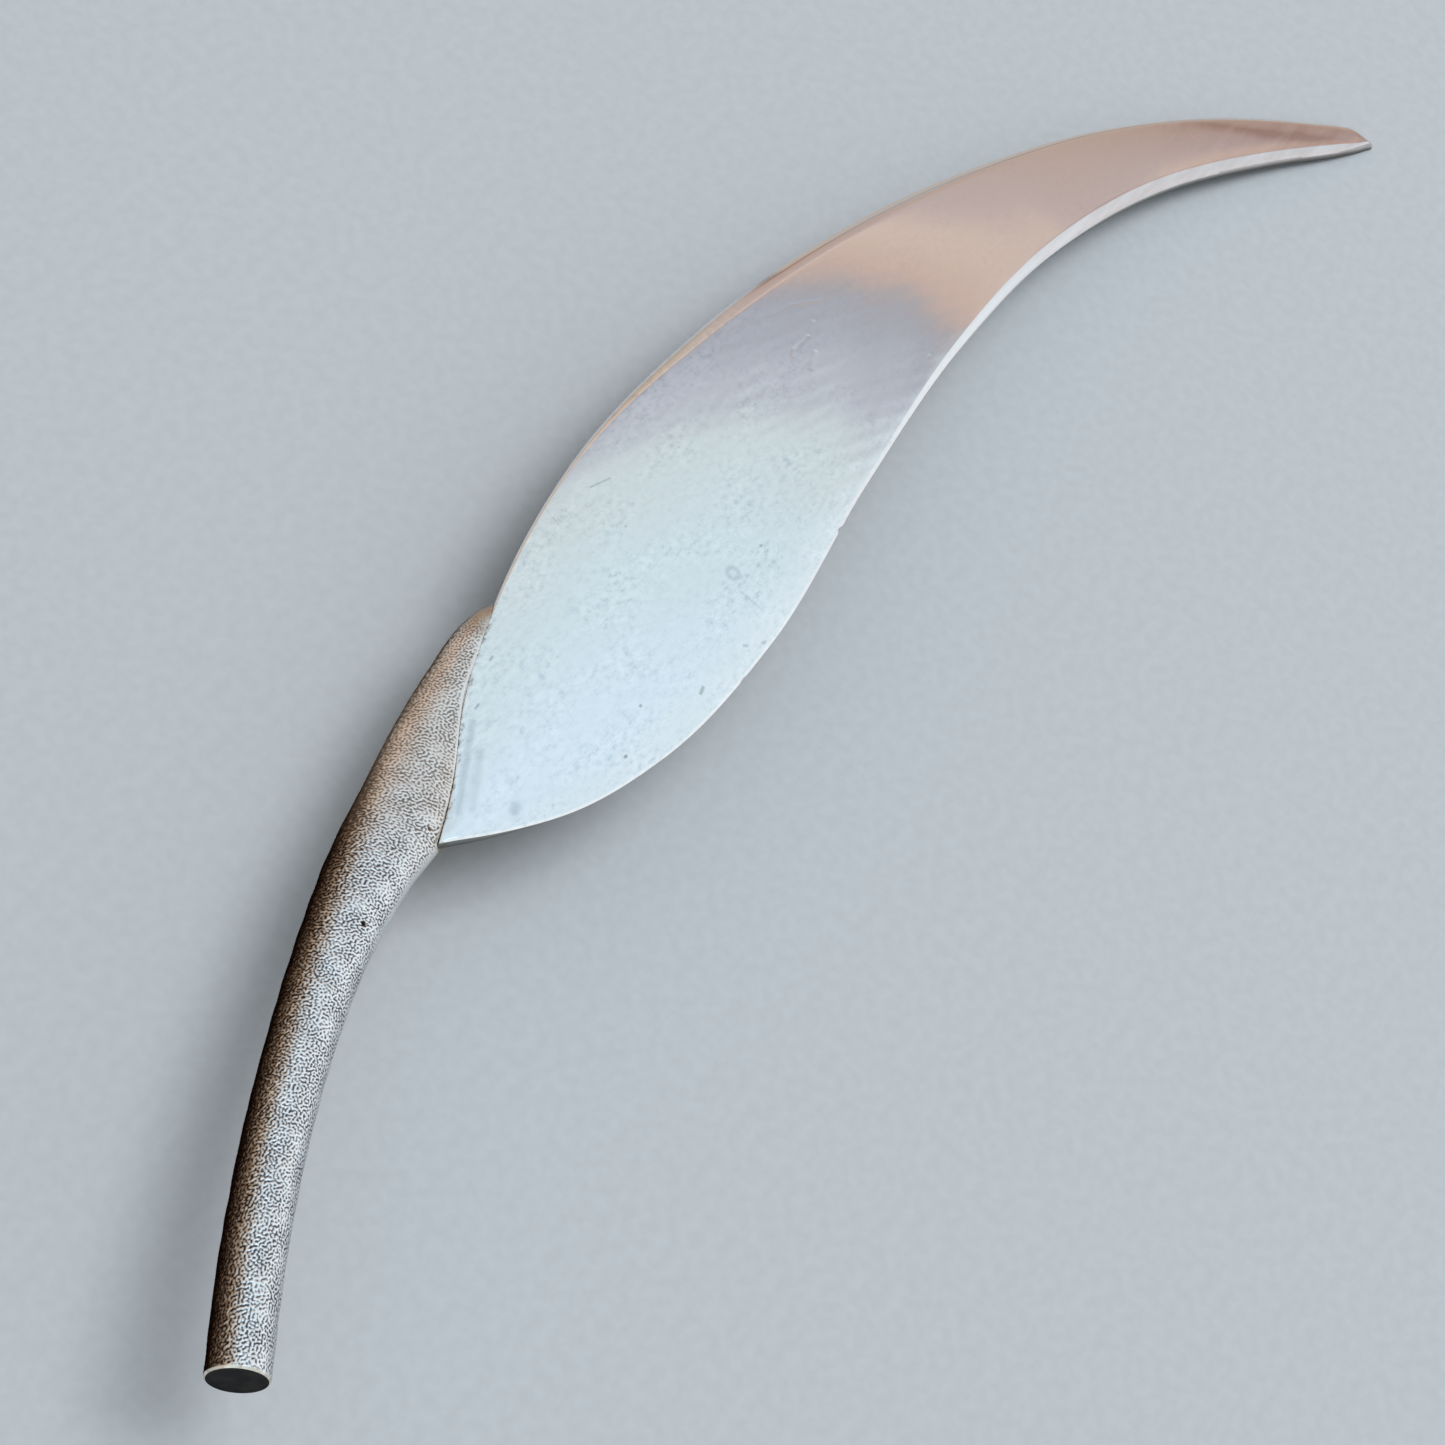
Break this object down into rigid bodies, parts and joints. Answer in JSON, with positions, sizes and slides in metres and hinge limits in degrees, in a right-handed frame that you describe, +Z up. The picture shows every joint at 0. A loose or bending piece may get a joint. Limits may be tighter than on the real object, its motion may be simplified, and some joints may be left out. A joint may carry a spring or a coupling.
{
  "type": "leaf brooch",
  "caption": "Long S-curved metal leaf on a round textured stem, with a pin, hinge and catch on its back for fastening to cloth.",
  "frame": {"origin": "middle of the bounding box in plan, on the flat surface that the brooch lies on", "axes": "+X from the stem's free end to the leaf's tip, +Y to the left of that, +Z up, away from the surface that it lies on"},
  "size_m": [0.0928, 0.0176, 0.0083],
  "materials": {
    "satin_silver": "sterling silver, fine satin brushed lengthwise, faint warm tarnish towards the tip",
    "oxidised_silver": "cast sterling silver with a fine wrinkled relief, oxidised dark in its recesses and rubbed bright on its ridges",
    "plain_silver": "sterling silver wire and fittings, plain and lightly polished"
  },
  "bodies": {
    "root": {"leaf_blade": "satin_silver", "stem": "oxidised_silver", "brooch_pin": "plain_silver"}
  },
  "joints": []
}
